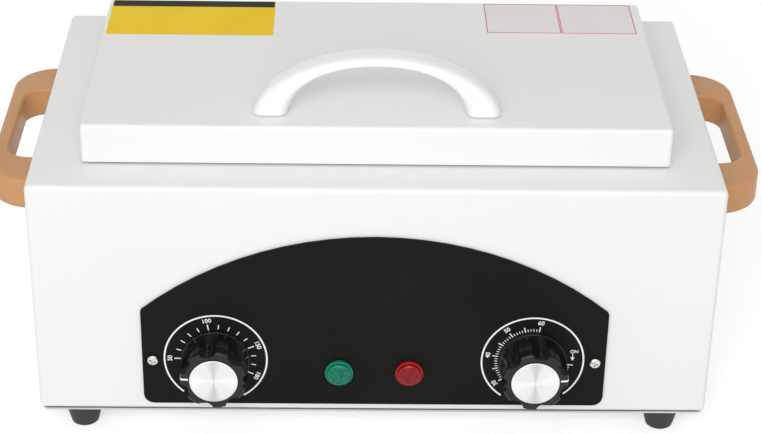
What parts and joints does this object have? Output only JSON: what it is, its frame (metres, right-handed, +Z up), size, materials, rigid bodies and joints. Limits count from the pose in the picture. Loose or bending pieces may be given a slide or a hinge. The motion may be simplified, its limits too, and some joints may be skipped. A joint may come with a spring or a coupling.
{
  "type": "dry heat sterilizer",
  "caption": "Bench-top dry heat sterilizer: sheet steel case with rear-hinged lid, arched lid handle, side handles, black panel with fluted knobs and lamps, and a perforated tray.",
  "frame": {"origin": "on the bench under the middle of the whole machine", "axes": "+X to the right seen from the front, +Y to the back, +Z up"},
  "size_m": [0.3786, 0.2214, 0.1918],
  "materials": {
    "white_enamel": "semi-gloss",
    "black_panel": "semi-gloss",
    "stainless": "brushed",
    "zinc_steel": "zinc plated",
    "nickel": "nickel plated",
    "element_steel": "heat darkened",
    "copper": "bare",
    "spun_aluminium": "spun",
    "mineral_wool": "fibrous",
    "ceramic": "matte",
    "black_phenolic": "gloss",
    "white_plastic": "gloss",
    "tan_plastic": "satin",
    "rubber": "matte",
    "green_lens": "gloss",
    "red_lens": "gloss"
  },
  "bodies": {
    "case": {"outer_shell": "white_enamel", "bottom_plate": "zinc_steel", "inner_tank": "stainless", "insulation_jacket": "mineral_wool", "heating_element": "element_steel", "element_bar_left": "ceramic", "element_bar_right": "ceramic", "support_channel_left": "zinc_steel", "support_channel_right": "zinc_steel", "control_panel": "black_panel", "panel_screw_left": "nickel", "panel_screw_right": "nickel", "thermostat": "zinc_steel", "thermostat_bulb": "copper", "timer": "black_phenolic", "green_lamp_holder": "white_plastic", "green_lamp_lens": "green_lens", "red_lamp_holder": "white_plastic", "red_lamp_lens": "red_lens", "side_handle_left": "tan_plastic", "side_handle_right": "tan_plastic", "handle_screw_front_left": "zinc_steel", "handle_screw_front_right": "zinc_steel", "handle_screw_rear_left": "zinc_steel", "handle_screw_rear_right": "zinc_steel", "foot_front_left": "rubber", "foot_front_right": "rubber", "foot_rear_left": "rubber", "foot_rear_right": "rubber", "foot_screw_front_left": "zinc_steel", "foot_screw_front_right": "zinc_steel", "foot_screw_rear_left": "zinc_steel", "foot_screw_rear_right": "zinc_steel", "cord_gland": "black_phenolic", "gland_nut": "black_phenolic", "terminal_block": "white_plastic", "hinge_left_case_leaf": "nickel", "hinge_right_case_leaf": "nickel", "hinge_left_pin": "nickel", "hinge_right_pin": "nickel"},
    "lid": {"lid_shell": "white_enamel", "lid_liner": "stainless", "lid_insulation": "mineral_wool", "lid_handle": "white_plastic", "lid_handle_screw_left": "zinc_steel", "lid_handle_screw_right": "zinc_steel", "hinge_left_lid_leaf": "nickel", "hinge_right_lid_leaf": "nickel"},
    "tray": {"instrument_tray": "stainless", "tray_handle_left": "stainless", "tray_handle_right": "stainless"},
    "temperature_dial": {"temperature_knob": "black_phenolic", "temperature_knob_cap": "spun_aluminium", "thermostat_spindle": "nickel"},
    "timer_dial": {"timer_knob": "black_phenolic", "timer_knob_cap": "spun_aluminium", "timer_spindle": "nickel"}
  },
  "joints": [
    {"name": "lid_hinge", "type": "hinge", "parent": "case", "child": "lid", "pos_m": [0, 0.081, 0.1423], "axis": [-1, 0, 0], "range_deg": [0, 100]},
    {"name": "tray_lift", "type": "slide", "parent": "case", "child": "tray", "axis": [0, 0, 1], "range_m": [0, 0.055]},
    {"name": "temperature_turn", "type": "hinge", "parent": "case", "child": "temperature_dial", "pos_m": [-0.0774, -0.0944, 0.0445], "axis": [0, 1, 0], "range_deg": [0, 230]},
    {"name": "timer_turn", "type": "hinge", "parent": "case", "child": "timer_dial", "pos_m": [0.0774, -0.0944, 0.0445], "axis": [0, 1, 0], "range_deg": [-20, 276]}
  ],
  "couplings": [
    {"joint": "tray_lift", "follows": "lid_hinge", "m_per_rad": 0.0315}
  ]
}
